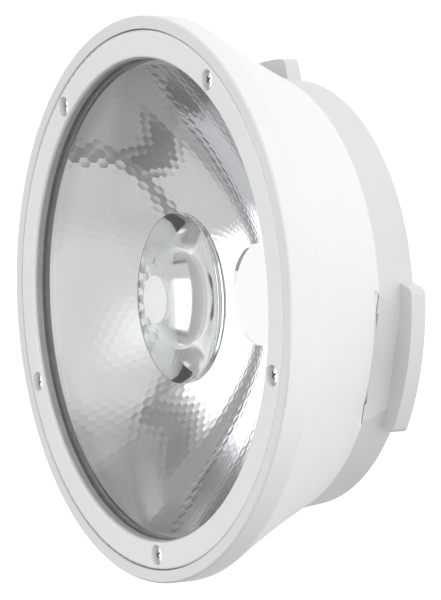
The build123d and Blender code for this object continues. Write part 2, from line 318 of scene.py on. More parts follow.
# ------------------------------------------------------------------ finishes


@dataclass(frozen=True)
class MouldedPlastic:
    """Opaque moulded plastic with a spark-eroded grain, faint mottling and uneven gloss."""

    name: str
    colour: Colour
    shade: Colour
    roughness: float = 0.42
    grain: float = 0.35 * MM
    grain_depth: float = 0.012 * MM
    grain_strength: float = 0.5
    ior: float = 1.47
    painted_glow: float = 0.0
    mottle: Texture = Texture(38.0, 3.0, 0.55)
    mottle_band: Point = (0.35, 0.65)
    gloss: Texture = Texture(90.0, 4.0, 0.6)
    gloss_band: Point = (0.3, 0.7)
    gloss_swing: Point = (-0.05, 0.06)
    swell: Texture = Texture(45.0, 1.0)
    swell_depth: float = 0.05 * MM
    swell_strength: float = 0.25

    def material(self) -> bpy.types.Material:
        """Build the material.

        Returns:
            The material, with its nodes in place.
        """
        material, graph, shader, place = new_surface(self.name)
        mottle = graph.ramp(graph.noise(place, self.mottle), *self.mottle_band, 0.0, 1.0)
        graph.feed(shader.inputs["Base Color"], graph.tint(mottle, self.colour, self.shade))
        low, high = (self.roughness + swing for swing in self.gloss_swing)
        gloss = graph.ramp(graph.noise(place, self.gloss), *self.gloss_band, low, high)
        graph.feed(shader.inputs["Roughness"], gloss)
        swell = graph.bump(graph.noise(place, self.swell), self.swell_strength, self.swell_depth)
        grain = graph.noise(place, Texture(1.0 / self.grain, 2.0, 0.6))
        normal = graph.bump(grain, self.grain_strength, self.grain_depth, swell)
        graph.feed(shader.inputs["Normal"], normal)
        shader.inputs["IOR"].default_value = self.ior
        # Painted light: a faint emission makes the plastic glow though it is no lamp. It stands in for
        # light that comes through it from behind.
        if self.painted_glow:
            shader.inputs["Emission Color"].default_value = (1.0, 1.0, 1.0, 1.0)
            shader.inputs["Emission Strength"].default_value = self.painted_glow
        return material


@dataclass(frozen=True)
class ClearPlastic:
    """Polished clear acrylic with the faintest moulding waves and, if wanted, a sawn rim."""

    name: str
    colour: Colour = (0.985, 0.995, 0.992)
    roughness: float = 0.0
    ior: float = 1.49
    wave: float = 14 * MM
    wave_depth: float = 0.010 * MM
    wave_strength: float = 0.3
    cloud: Texture = Texture(60.0, 2.0)
    cloud_share: float = 0.995
    sawn_edge: float = 0.0
    sawn_band: float = 0.1 * MM
    sawn_roughness: float = 0.9

    def material(self) -> bpy.types.Material:
        """Build the material.

        Returns:
            The material, with its nodes in place.
        """
        material, graph, shader, place = new_surface(self.name)
        cloud = graph.noise(place, self.cloud)
        dimmed = darker(self.colour, self.cloud_share)
        graph.feed(shader.inputs["Base Color"], graph.tint(cloud, self.colour, dimmed))
        wave = graph.noise(place, Texture(1.0 / self.wave, 1.0))
        graph.feed(shader.inputs["Normal"], graph.bump(wave, self.wave_strength, self.wave_depth))
        if self.sawn_edge:
            start, reach = self.sawn_edge - self.sawn_band, graph.reach(place)
            rim = graph.ramp(reach, start, self.sawn_edge, self.roughness, self.sawn_roughness)
            graph.feed(shader.inputs["Roughness"], rim)
        else:
            shader.inputs["Roughness"].default_value = self.roughness
        shader.inputs["Transmission Weight"].default_value = 1.0
        shader.inputs["IOR"].default_value = self.ior
        return material


@dataclass(frozen=True)
class MirrorFilm:
    """Aluminium film on moulded plastic: bright, with a slight haze that comes and goes."""

    name: str
    colour: Colour
    roughness: float = 0.05
    haze: Texture = Texture(120.0, 3.0, 0.6)
    haze_band: Point = (0.35, 0.7)
    haze_swing: Point = (0.6, 1.6)
    haze_share: float = 0.97
    ripple: Texture = Texture(700.0, 2.0)
    ripple_depth: float = 0.004 * MM
    ripple_strength: float = 0.25

    def material(self) -> bpy.types.Material:
        """Build the material.

        Returns:
            The material, with its nodes in place.
        """
        material, graph, shader, place = new_surface(self.name)
        haze = graph.noise(place, self.haze)
        dimmed = darker(self.colour, self.haze_share)
        graph.feed(shader.inputs["Base Color"], graph.tint(haze, self.colour, dimmed))
        low, high = (swing * self.roughness for swing in self.haze_swing)
        graph.feed(shader.inputs["Roughness"], graph.ramp(haze, *self.haze_band, low, high))
        ripple = graph.noise(place, self.ripple)
        graph.feed(shader.inputs["Normal"], graph.bump(ripple, self.ripple_strength, self.ripple_depth))
        shader.inputs["Metallic"].default_value = 1.0
        return material


@dataclass(frozen=True)
class TurnedMetal:
    """Solid metal with fine turning marks round the optical axis, or with a plain plated skin."""

    name: str
    colour: Colour
    roughness: float
    mark: float = 0.12 * MM
    mark_depth: float = 0.004 * MM
    mark_strength: float = 0.5
    mark_band: Point = (0.3, 0.7)
    mark_swing: Point = (0.7, 1.3)
    turned: bool = True
    stain: Texture = Texture(260.0, 3.0, 0.6)
    stain_share: float = 0.86

    def material(self) -> bpy.types.Material:
        """Build the material.

        Returns:
            The material, with its nodes in place.
        """
        material, graph, shader, place = new_surface(self.name)
        stain = graph.noise(place, self.stain)
        dimmed = darker(self.colour, self.stain_share)
        graph.feed(shader.inputs["Base Color"], graph.tint(stain, self.colour, dimmed))
        marks = self.marks(graph, place)
        low, high = (swing * self.roughness for swing in self.mark_swing)
        graph.feed(shader.inputs["Roughness"], graph.ramp(marks, *self.mark_band, low, high))
        graph.feed(shader.inputs["Normal"], graph.bump(marks, self.mark_strength, self.mark_depth))
        shader.inputs["Metallic"].default_value = 1.0
        return material

    def marks(self, graph: Graph, place: bpy.types.NodeSocket) -> bpy.types.NodeSocket:
        """Add the turning marks, or the skin's fine pits.

        Args:
            graph: where the nodes go.
            place: the coordinates' socket.

        Returns:
            The marks' socket.
        """
        if not self.turned:
            return graph.noise(place, Texture(1.0 / self.mark, 2.0, 0.6))
        joined = graph.node("CombineXYZ")
        graph.feed(joined.inputs[0], graph.reach(place))
        return graph.noise(joined.outputs[0], Texture(1.0 / self.mark, 3.0, 0.7))


@dataclass(frozen=True)
class SealRubber:
    """Matt moulded rubber with a dusty bloom."""

    name: str
    colour: Colour
    bloom: Colour
    dust: Texture = Texture(210.0, 5.0, 0.65)
    dust_band: Point = (0.4, 0.75)
    dust_depth: float = 0.03 * MM
    dust_strength: float = 0.4
    matt_band: Point = (0.3, 0.7)
    roughness: Point = (0.6, 0.8)

    def material(self) -> bpy.types.Material:
        """Build the material.

        Returns:
            The material, with its nodes in place.
        """
        material, graph, shader, place = new_surface(self.name)
        dust = graph.noise(place, self.dust)
        share = graph.ramp(dust, *self.dust_band, 0.0, 1.0)
        graph.feed(shader.inputs["Base Color"], graph.tint(share, self.colour, self.bloom))
        graph.feed(shader.inputs["Roughness"], graph.ramp(dust, *self.matt_band, *self.roughness))
        graph.feed(shader.inputs["Normal"], graph.bump(dust, self.dust_strength, self.dust_depth))
        return material


class Finishes:
    """Every finish of the object, built once."""

    def __init__(self) -> None:
        """Build the materials."""
        self.housing = MouldedPlastic(
            "white_housing_plastic", (0.86, 0.87, 0.87), (0.84, 0.85, 0.85)
        ).material()
        self.bezel = MouldedPlastic(
            "white_bezel_plastic", (0.94, 0.94, 0.935), (0.92, 0.92, 0.915),
            roughness=0.38, grain=0.28 * MM,
        ).material()
        # Painted shade: the ring's white plastic is given a greyer colour than the housing's, standing
        # in for the shade it lies in behind the shell and under the grips.
        self.ring_plastic = MouldedPlastic(
            "white_ring_plastic_painted_shade", (0.71, 0.72, 0.72), (0.69, 0.70, 0.70), grain=0.4 * MM
        ).material()
        self.sleeve = MouldedPlastic(
            "sleeve_plastic", (0.78, 0.79, 0.79), (0.74, 0.75, 0.75), roughness=0.5
        ).material()
        self.slip = MouldedPlastic(
            "slip_washer_plastic", (0.70, 0.70, 0.67), (0.64, 0.64, 0.61),
            roughness=0.3, grain=0.8 * MM, grain_depth=0.006 * MM,
        ).material()
        self.cover = ClearPlastic("clear_cover_acrylic", sawn_edge=66.0 * MM).material()
        self.lens = ClearPlastic(
            "clear_lens_acrylic", roughness=0.04, wave=9 * MM, wave_depth=0.014 * MM
        ).material()
        self.mirror = MirrorFilm("bowl_mirror_film", (0.91, 0.915, 0.93)).material()
        self.screw = TurnedMetal(
            "bright_screw_steel", (0.78, 0.78, 0.78), 0.2, turned=False
        ).material()
        self.ring = TurnedMetal("turned_ring_steel", (0.62, 0.63, 0.64), 0.28).material()
        self.brass = TurnedMetal("insert_brass", (0.79, 0.60, 0.29), 0.3, turned=False).material()
        self.rubber = SealRubber("seal_rubber", (0.44, 0.44, 0.45), (0.52, 0.52, 0.53)).material()
        # The bond's white plastic glows faintly. This is painted light, standing in for light shining
        # through the spot from behind.
        self.bond = MouldedPlastic(
            "white_bond_painted_glow", (0.94, 0.94, 0.94), (0.92, 0.92, 0.92), roughness=0.6, painted_glow=0.45
        ).material()
        # Painted shade: a dark metal is put inside the cross recesses, standing in for the shade that
        # falls in them.
        self.socket = TurnedMetal(
            "screw_socket_painted_shade", (0.16, 0.16, 0.17), 0.45, turned=False
        ).material()


# ------------------------------------------------------------------ mesh helpers


def around(radius: float, depth: float, angle: float) -> Vector:
    """Point at this radius, Y and angle round the optical axis, from +X towards +Z."""
    return Vector((radius * math.cos(angle), depth, radius * math.sin(angle)))


def full_turn(segments: int) -> list[float]:
    """Angles of this many even columns round the optical axis."""
    return [math.tau * index / segments for index in range(segments)]


def plain_mesh(name: str, mesh: bmesh.types.BMesh) -> bpy.types.Mesh:
    """Write a mesh out as plain data and free it.

    Args:
        name: the data's name.
        mesh: the mesh.

    Returns:
        The data.
    """
    data = bpy.data.meshes.new(name)
    mesh.to_mesh(data)
    mesh.free()
    return data


def as_object(name: str, mesh: bmesh.types.BMesh, material: bpy.types.Material,
              body: Body) -> bpy.types.Object:
    """Turn a finished mesh into a piece that rides on its body.

    Args:
        name: the piece's name.
        mesh: its mesh, which is freed.
        material: its finish.
        body: what it rides on.

    Returns:
        The new object.
    """
    bmesh.ops.recalc_face_normals(mesh, faces=mesh.faces)
    data = plain_mesh(name, mesh)
    piece = bpy.data.objects.new(name, data)
    bpy.context.scene.collection.objects.link(piece)
    data.materials.append(material)
    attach(piece, body.value)
    LOG.info("%s: %d faces on %s", name, len(data.polygons), body.value)
    return piece


def spin(mesh: bmesh.types.BMesh, outline: Sequence[Point], angles: Sequence[float],
         closed: bool = False) -> list[Ring]:
    """Sweep an outline of (radius, depth) points round the optical axis.

    Args:
        mesh: the mesh that gets the faces.
        outline: the points, in order; one at radius 0 becomes a single vertex.
        angles: the angles of the columns.
        closed: join the last point to the first.

    Returns:
        The rings of vertices.
    """
    rings = []
    for radius, depth in outline:
        if radius < AXIS_TOUCH:
            rings.append([mesh.verts.new((0.0, depth, 0.0))])
        else:
            rings.append([mesh.verts.new(around(radius, depth, angle)) for angle in angles])
    pairs = list(zip(rings, rings[1:]))
    if closed:
        pairs.append((rings[-1], rings[0]))
    for first, second in pairs:
        join_rings(mesh, first, second)
    return rings


def join_rings(mesh: bmesh.types.BMesh, first: Ring, second: Ring) -> None:
    """Fill the band between two rings, where one may be a single point.

    Args:
        mesh: the mesh that gets the faces.
        first: a ring of vertices.
        second: the next ring.
    """
    count = max(len(first), len(second))
    for index in range(count):
        after = (index + 1) % count
        corners = [first[index % len(first)], first[after % len(first)],
                   second[after % len(second)], second[index % len(second)]]
        mesh.faces.new(list(dict.fromkeys(corners)))


def smooth_by_angle(mesh: bmesh.types.BMesh, degrees: float) -> None:
    """Shade the mesh smooth, with hard edges where its faces meet steeply.

    Args:
        mesh: the mesh.
        degrees: the angle from which an edge is hard.
    """
    bmesh.ops.recalc_face_normals(mesh, faces=mesh.faces)
    limit = math.radians(degrees)
    for face in mesh.faces:
        face.smooth = True
    for edge in mesh.edges:
        edge.smooth = len(edge.link_faces) == 2 and edge.calc_face_angle(0.0) < limit


# ------------------------------------------------------------------ the frame's sizes


class Part:
    """Where a node of the frame lies, measured from its box."""

    def __init__(self, node: str) -> None:
        """Measure a node.

        Args:
            node: the node's name.
        """
        low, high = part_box(node)
        self.front = low.y
        self.rear = high.y
        self.radius = high.x


@dataclass
class Solid:
    """Where one solid of a node lies, when the node holds several alike."""

    middle: Vector
    radius: float
    front: float
    rear: float


def grow(start: bmesh.types.BMVert, seen: set[bmesh.types.BMVert]) -> list[Vector]:
    """Collect every vertex that edges join to this one.

    Args:
        start: the vertex to start from.
        seen: the vertices collected so far, which grows.

    Returns:
        Where the vertices are.
    """
    places, stack = [], [start]
    seen.add(start)
    while stack:
        vertex = stack.pop()
        places.append(vertex.co.copy())
        for edge in vertex.link_edges:
            other = edge.other_vert(vertex)
            if other not in seen:
                seen.add(other)
                stack.append(other)
    return places


def islands(node: bpy.types.Object) -> list[Solid]:
    """Find the separate solids of a node.

    Args:
        node: the frame's object.

    Returns:
        The solids, in the order of the mesh.
    """
    mesh = bmesh.new()
    mesh.from_mesh(node.data)
    bmesh.ops.remove_doubles(mesh, verts=mesh.verts, dist=WELD)
    found, seen = [], set()
    for start in mesh.verts:
        if start in seen:
            continue
        places = grow(start, seen)
        low = Vector(min(place[axis] for place in places) for axis in range(3))
        high = Vector(max(place[axis] for place in places) for axis in range(3))
        found.append(Solid((low + high) / 2, (high.x - low.x) / 2, low.y, high.y))
    mesh.free()
    return found


# ------------------------------------------------------------------ pieces


@dataclass
class FacetedBowl:
    """The mirror bowl: a dish of six-sided facets, each a little crowned.

    The facets stand in columns round the bowl and rows from the mouth to the neck.  Their corners are
    counted in thirds of a column and halves of a row.
    """

    mouth_radius: float = 63.0 * MM
    neck_radius: float = 14.0 * MM
    wall: float = 1.4 * MM
    flange_thickness: float = 1.2 * MM
    neck_lip: float = 1.2 * MM
    columns: int = 140
    rows: int = 18
    corners: tuple[tuple[int, int], ...] = ((-1, -1), (1, -1), (2, 0), (1, 1), (-1, 1), (-2, 0))
    facet_span: float = 4 / 3
    crown: float = 0.0052
    unevenness: float = 0.3
    drift: float = 0.06
    seed: int = 11
    skirt_steps: int = 24
    arc_steps: int = 400
    crease: float = 25.0
    mouth: float = field(init=False)
    neck: float = field(init=False)
    focus: float = field(init=False)
    pitch: float = field(init=False)
    reach: list[Point] = field(init=False)
    radii: list[float] = field(init=False)

    def build(self, finish: bpy.types.Material) -> bpy.types.Object:
        """Build the bowl.

        Args:
            finish: its material.

        Returns:
            The bowl's object.
        """
        frame = Part("reflector")
        self.mouth = frame.front
        self.neck = frame.rear - self.neck_lip
        self.focus = (self.mouth_radius**2 - self.neck_radius**2) / (4 * (self.neck - self.mouth))
        self.pitch = math.tau / self.columns
        self.reach = self.arc_table()
        last = 2 * self.rows
        self.radii = [self.radius_at(half / last) for half in range(last + 1)]
        mesh = bmesh.new()
        laid, borders = self.facets(mesh)
        self.skin(mesh, laid, frame)
        smooth_by_angle(mesh, self.crease)
        for edge in borders:
            edge.smooth = False
        piece = as_object("mirror_bowl", mesh, finish, Body.HEAD)
        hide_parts("reflector")
        return piece

    def depth(self, radius: float) -> float:
        """Y of the mirror surface at a radius."""
        return self.mouth + (self.mouth_radius**2 - radius**2) / (4 * self.focus)

    def arc_table(self) -> list[Point]:
        """Measure along the dish from its mouth.

        Returns:
            Pairs of the length from the mouth and the radius there.
        """
        table, length = [(0.0, self.mouth_radius)], 0.0
        for step in range(self.arc_steps):
            near, far = (
                self.mouth_radius + (self.neck_radius - self.mouth_radius) * share / self.arc_steps
                for share in (step, step + 1)
            )
            length += math.hypot(near - far, self.depth(far) - self.depth(near))
            table.append((length, far))
        return table

    def radius_at(self, share: float) -> float:
        """Find the radius part of the way along the dish.

        Args:
            share: 0 at the mouth, 1 at the neck.

        Returns:
            The radius there.
        """
        target = share * self.reach[-1][0]
        for (before, near), (after, far) in zip(self.reach, self.reach[1:]):
            if target <= after:
                return near + (far - near) * (target - before) / (after - before)
        return self.neck_radius

    def facets(self, mesh: bmesh.types.BMesh) -> tuple[Corners, list[bmesh.types.BMEdge]]:
        """Lay the six-sided facets.

        Args:
            mesh: the mesh that gets them.

        Returns:
            The corner vertices by (thirds of a column, halves of a row), and the facets' border edges.
        """
        random.seed(self.seed)
        laid: Corners = {}
        borders = []
        for column in range(self.columns):
            for middle in range(1 - column % 2, 2 * self.rows + 1, 2):
                ring = list(dict.fromkeys(
                    self.corner(mesh, laid, 3 * column + side, middle + row)
                    for side, row in self.corners
                ))
                peak = mesh.verts.new(self.peak(ring))
                for first, second in zip(ring, ring[1:] + ring[:1]):
                    mesh.faces.new((peak, first, second))
                    borders.append((first, second))
        edges = [mesh.edges.get(pair) for pair in borders]
        return laid, [edge for edge in edges if edge is not None]

    def corner(self, mesh: bmesh.types.BMesh, laid: Corners, third: int,
               half: int) -> bmesh.types.BMVert:
        """Find or add the vertex of a corner.

        Args:
            mesh: the mesh that gets it.
            laid: the corners so far, which grows.
            third: thirds of a column round the bowl.
            half: halves of a row from the mouth.

        Returns:
            The vertex.
        """
        half = min(max(half, 0), 2 * self.rows)
        third %= 3 * self.columns
        if (third, half) not in laid:
            radius = self.radii[half]
            spot = around(radius, self.depth(radius), third * self.pitch / 3)
            laid[third, half] = mesh.verts.new(spot)
        return laid[third, half]

    def peak(self, ring: Ring) -> Vector:
        """Place the crowned middle of a facet, a little unevenly.

        Args:
            ring: the facet's corners.

        Returns:
            Where its middle is.
        """
        flat = sum((vertex.co for vertex in ring), Vector()) / len(ring)
        radius = math.hypot(flat.x, flat.z)
        width = self.facet_span * self.pitch * radius
        inward = Vector((-flat.x * 2, -4 * self.focus, -flat.z * 2)).normalized()
        lift = width * self.crown * (1 + self.unevenness * random.uniform(-1, 1))
        sideways = Vector((-flat.z, 0, flat.x)) / radius
        return flat + inward * lift + sideways * width * self.drift * random.uniform(-1, 1)

    def skin(self, mesh: bmesh.types.BMesh, laid: Corners, frame: Part) -> None:
        """Close the bowl with its flange, its back and its neck.

        Args:
            mesh: the mesh that gets the faces.
            laid: the facets' corner vertices.
            frame: where the bowl's node lies.
        """
        thirds = sorted(third for third, half in laid if half == 0)
        pitch = self.pitch / 3
        rim = [laid[third, 0] for third in thirds]
        neck = [laid[third, 2 * self.rows] for third in thirds]
        ledge = self.mouth + self.flange_thickness
        outer_neck = self.neck_radius + self.wall
        back = [(frame.radius, self.mouth), (frame.radius, ledge)]
        for step in range(self.skirt_steps):
            radius = self.radius_at(step / self.skirt_steps)
            slope = Vector((2 * radius, 4 * self.focus)).normalized() * self.wall
            depth = max(self.depth(radius) + slope.y, ledge)
            back.append((min(radius + slope.x, self.mouth_radius + self.wall), depth))
        back += [(outer_neck, self.neck), (outer_neck, frame.rear), (self.neck_radius, frame.rear)]
        rings = spin(mesh, back, [third * pitch for third in thirds])
        join_rings(mesh, rim, rings[0])
        join_rings(mesh, rings[-1], neck)


@dataclass
class CentreLens:
    """The clear centre lens: a domed disc with a blunt nose that meets the cover."""

    disc_edge: float = 1.6 * MM
    nose_root_radius: float = 13.4 * MM
    root_inner: float = 0.2 * MM
    root_outer: float = 0.6 * MM
    root_rise: float = 0.12 * MM
    tip_radius: float = 6.6 * MM
    nose_direction: Point = (0.7, 0.72)
    bulge: float = 6.5 * MM
    dome_direction: Point = (-0.95, 0.3)
    dome_steps: int = 24
    dome_reach: float = 0.985
    nose_length: float = 7.0 * MM
    cover_gap: float = 0.04 * MM
    edge_round: float = 0.3 * MM
    segments: int = 144
    crease: float = 32.0

    def build(self, finish: bpy.types.Material) -> bpy.types.Object:
        """Build the lens.

        Args:
            finish: its material.

        Returns:
            The lens's object.
        """
        mesh = bmesh.new()
        spin(mesh, self.outline(Part("collimator_lens")), full_turn(self.segments))
        smooth_by_angle(mesh, self.crease)
        piece = as_object("centre_lens", mesh, finish, Body.HEAD)
        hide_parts("collimator_lens")
        return piece

    def outline(self, frame: Part) -> list[Point]:
        """Draw the lens's half section, from the tip of the nose to the top of the dome.

        Args:
            frame: where the lens's node lies.

        Returns:
            Points of radius and depth.
        """
        front = frame.front + self.nose_length
        tip = frame.front + self.cover_gap
        points = [(0.0, tip)]
        points += self.rounded((self.tip_radius, tip), (-1, 0), self.nose_direction)
        points += [(self.nose_root_radius + self.root_inner, front - self.root_rise),
                   (self.nose_root_radius + self.root_outer, front)]
        points += self.rounded((frame.radius, front), (-1, 0), (0, 1))
        points += self.rounded((frame.radius, front + self.disc_edge), (0, -1), self.dome_direction)
        curve = (frame.radius**2 + self.bulge**2) / (2 * self.bulge)
        for step in range(1, self.dome_steps):
            radius = frame.radius * (1 - step / self.dome_steps) * self.dome_reach
            points.append((radius, frame.rear - curve + math.sqrt(curve**2 - radius**2)))
        points.append((0.0, frame.rear))
        return points

    def rounded(self, at: Point, before: Point, after: Point) -> list[Point]:
        """Three points that round off a corner; the middle one lies on the parabola through the others.

        Args:
            at: the corner's radius and depth.
            before: direction back along the outline.
            after: direction on along the outline.

        Returns:
            The points, in order.
        """
        first = (at[0] + before[0] * self.edge_round, at[1] + before[1] * self.edge_round)
        last = (at[0] + after[0] * self.edge_round, at[1] + after[1] * self.edge_round)
        middle = tuple(0.25 * first[axis] + 0.5 * at[axis] + 0.25 * last[axis] for axis in (0, 1))
        return [first, middle, last]


@dataclass
class CoverSeal:
    """The cover's grey seal: the ring behind the cover and a lip just inside the bezel."""

    bezel_lap: float = 1.2 * MM
    bezel_thickness: float = 2.8 * MM
    bezel_air: float = 0.01 * MM
    lip_front: float = 0.95 * MM
    lip_thickness: float = 0.35 * MM
    chamfer: float = 0.12 * MM
    width: float = 2.0 * MM
    cover_air: float = 0.03 * MM
    segments: int = 240
    crease: float = 30.0

    def build(self, finish: bpy.types.Material) -> bpy.types.Object:
        """Build the seal.

        Args:
            finish: its material.

        Returns:
            The seal's object.
        """
        mesh = bmesh.new()
        spin(mesh, self.lip(), full_turn(self.segments), closed=True)
        spin(mesh, self.ring(), full_turn(self.segments), closed=True)
        smooth_by_angle(mesh, self.crease)
        piece = as_object("cover_seal", mesh, finish, Body.HEAD)
        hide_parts("cover_gasket")
        return piece

    def lip(self) -> list[Point]:
        """Draw the lip's section.

        Returns:
            Points of radius and depth.
        """
        outer = Part("front_cover").radius - self.bezel_lap - self.bezel_air
        inner = outer - self.lip_thickness
        front = Part("bezel_ring").front + self.lip_front
        rear = Part("bezel_ring").front + self.bezel_thickness - self.bezel_air
        return [(outer, front), (inner + self.chamfer, front), (inner, front + self.chamfer),
                (inner, rear - self.chamfer), (inner + self.chamfer, rear), (outer, rear)]

    def ring(self) -> list[Point]:
        """Draw the ring's section.

        Returns:
            Points of radius and depth.
        """
        node = Part("cover_gasket")
        top, foot, bore = node.front + self.cover_air, node.rear, node.radius - self.width
        return [(node.radius, top), (bore + self.chamfer, top), (bore, top + self.chamfer),
                (bore, foot), (node.radius, foot)]


@dataclass
class BondSpot:
    """White spot of bond that holds the lens's flat end to the cover; its finish glows faintly, painted
    light standing in for light from behind.
    """

    radius: float = 6.45 * MM
    thickness: float = 0.024 * MM
    inset: float = 0.008 * MM
    segments: int = 96
    crease: float = 30.0

    def build(self, finish: bpy.types.Material) -> bpy.types.Object:
        """Build the spot.

        Args:
            finish: its material.

        Returns:
            The spot's object.
        """
        front = Part("collimator_lens").front + self.inset
        rear = front + self.thickness
        shoulder = self.radius - self.thickness
        outline = [(0.0, front), (shoulder, front), (self.radius, (front + rear) / 2),
                   (shoulder, rear), (0.0, rear)]
        mesh = bmesh.new()
        spin(mesh, outline, full_turn(self.segments))
        smooth_by_angle(mesh, self.crease)
        return as_object("lens_bond", mesh, finish, Body.HEAD)


@dataclass
class ScrewSet:
    """A set of domed cross-head screws that stand where one node's screws stand.

    The sizes of the dome, the point and the recess are shares of the head or the shank.
    """

    node: str
    body: Body
    facing: Facing
    head_height: float
    shank_radius: float
    wider: float = 0.0
    higher: float = 0.0
    dome: float = 0.3
    dome_shares: tuple[float, ...] = (0.3, 0.55, 0.75, 0.9)
    brow_radius: float = 0.98
    brow_rise: float = 1.15
    side_rise: float = 1.6
    point_length: float = 0.6
    point_radius: float = 0.5
    cross_width: float = 0.24
    cross_length: float = 1.2
    cross_depth: float = 0.8
    cross_taper: float = 0.72
    cutter_stand: float = 0.5
    # How far the painted shade in the cross recess reaches, and the depth band it covers.
    socket_reach: float = 1.05
    socket_band: Point = (0.5, 1.1)
    segments: int = 40
    crease: float = 35.0

    def build(self, frame_node: bpy.types.Object, finish: bpy.types.Material,
              socket: bpy.types.Material) -> bpy.types.Object:
        """Build the screws.

        Args:
            frame_node: the node's object.
            finish: their material.
            socket: the painted shade inside the cross recess, a dark material that stands in for its
                shade.

        Returns:
            The object that holds all of them.
        """
        random.seed(len(self.node))
        mesh = bmesh.new()
        for solid in islands(frame_node):
            one = self.screw(solid.radius + self.wider, solid.rear - solid.front + self.higher)
            one.transform(self.place(solid))
            mesh.from_mesh(one)
            bpy.data.meshes.remove(one)
        smooth_by_angle(mesh, self.crease)
        piece = as_object(self.node + "_crosshead", mesh, finish, self.body)
        # The second slot holds the painted shade for the cross recess.
        piece.data.materials.append(socket)
        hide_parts(self.node)
        return piece

    def place(self, solid: Solid) -> Matrix:
        """Work out where a screw goes, with its cross turned at random.

        Args:
            solid: the frame's plain screw.

        Returns:
            The screw's place.
        """
        turn = Matrix.Rotation(random.uniform(0, math.tau), 4, "Y")
        if self.facing is Facing.FRONT:
            top = (solid.middle.x, solid.front - self.higher, solid.middle.z)
            return Matrix.Translation(top) @ turn
        top = (solid.middle.x, solid.rear, solid.middle.z)
        return Matrix.Translation(top) @ Matrix.Rotation(math.pi, 4, "X") @ turn

    def screw(self, radius: float, length: float) -> bpy.types.Mesh:
        """One screw with its head's top at the origin and its shank along +Y.

        Args:
            radius: of the head.
            length: over all.

        Returns:
            Its mesh.
        """
        rise = self.dome * self.head_height
        shank = self.shank_radius
        outline = [(0.0, 0.0)]
        outline += [(radius * share, rise * share**2) for share in self.dome_shares]
        outline += [(radius * self.brow_radius, rise * self.brow_rise),
                    (radius, rise * self.side_rise), (radius, self.head_height),
                    (shank, self.head_height), (shank, length - shank * self.point_length),
                    (shank * self.point_radius, length), (0.0, length)]
        mesh = bmesh.new()
        spin(mesh, outline, full_turn(self.segments))
        bmesh.ops.recalc_face_normals(mesh, faces=mesh.faces)
        return self.cut_cross(plain_mesh("screw_blank", mesh), radius)

    def cutter(self, radius: float) -> bpy.types.Mesh:
        """Make the tapered cross that the recess is cut with.

        Args:
            radius: of the head.

        Returns:
            The cross's mesh.
        """
        half, reach = self.cross_width * radius / 2, self.cross_length * radius / 2
        floor = self.cross_depth * self.head_height
        order = []
        for quarter in range(4):
            turn = Matrix.Rotation(quarter * math.pi / 2, 2)
            order += [turn @ Vector(spot) for spot in ((reach, -half), (reach, half), (half, half))]
        mesh = bmesh.new()
        above = -self.cutter_stand * self.head_height
        top = [mesh.verts.new((spot.x, above, spot.y)) for spot in order]
        foot = [mesh.verts.new((spot.x * self.cross_taper, floor, spot.y * self.cross_taper))
                for spot in order]
        mesh.faces.new(top)
        mesh.faces.new(foot)
        join_rings(mesh, top, foot)
        bmesh.ops.recalc_face_normals(mesh, faces=mesh.faces)
        return plain_mesh("cross_cutter", mesh)

    def cut_cross(self, blank: bpy.types.Mesh, radius: float) -> bpy.types.Mesh:
        """Sink the cross recess into a head.

        Args:
            blank: the screw with a plain head, which is removed.
            radius: of the head.

        Returns:
            The screw with its recess.
        """
        tool = self.cutter(radius)
        holders = [bpy.data.objects.new(data.name, data) for data in (blank, tool)]
        for holder in holders:
            bpy.context.scene.collection.objects.link(holder)
        cut = holders[0].modifiers.new("cross", "BOOLEAN")
        cut.object = holders[1]
        cut.operation = "DIFFERENCE"
        cut.solver = "EXACT"
        depsgraph = bpy.context.evaluated_depsgraph_get()
        result = bpy.data.meshes.new_from_object(holders[0].evaluated_get(depsgraph))
        for holder in holders:
            bpy.data.objects.remove(holder)
        for data in (blank, tool):
            bpy.data.meshes.remove(data)
        self.paint_socket_shade(result, radius)
        return result

    def paint_socket_shade(self, screw: bpy.types.Mesh, radius: float) -> None:
        """Give the recess's walls the second material, the painted shade.

        Args:
            screw: the screw with its recess.
            radius: of the head.
        """
        reach = self.cross_length * radius / 2 * self.socket_reach
        top, foot = (share * self.cross_depth * self.head_height for share in self.socket_band)
        for face in screw.polygons:
            inside = math.hypot(face.center.x, face.center.z) < reach
            face.material_index = int(inside and top < face.center.y < foot)


# ------------------------------------------------------------------ sub-assemblies


@dataclass
class SubAssembly:
    """What every sub-assembly works with."""

    nodes: dict[str, bpy.types.Object]
    finishes: Finishes

    def dress(self, plan: dict[str, bpy.types.Material]) -> None:
        """Give the nodes that show as they are their finish.

        Args:
            plan: the finish of each node, by the node's name.
        """
        for name, finish in plan.items():
            data = self.nodes[name].data
            data.materials.clear()
            data.materials.append(finish)
            LOG.info("%s: %s finish", name, finish.name)

    def fit_screws(self, screws: ScrewSet) -> None:
        """Build a set of screws in the steel finish."""
        screws.build(self.nodes[screws.node], self.finishes.screw, self.finishes.socket)


@dataclass
class Optic(SubAssembly):
    """The mirror bowl and the centre lens with its spot of bond."""

    bowl: FacetedBowl = field(default_factory=FacetedBowl)
    lens: CentreLens = field(default_factory=CentreLens)
    bond: BondSpot = field(default_factory=BondSpot)

    def build(self) -> None:
        """Build the three pieces."""
        self.bowl.build(self.finishes.mirror)
        self.lens.build(self.finishes.lens)
        self.bond.build(self.finishes.bond)


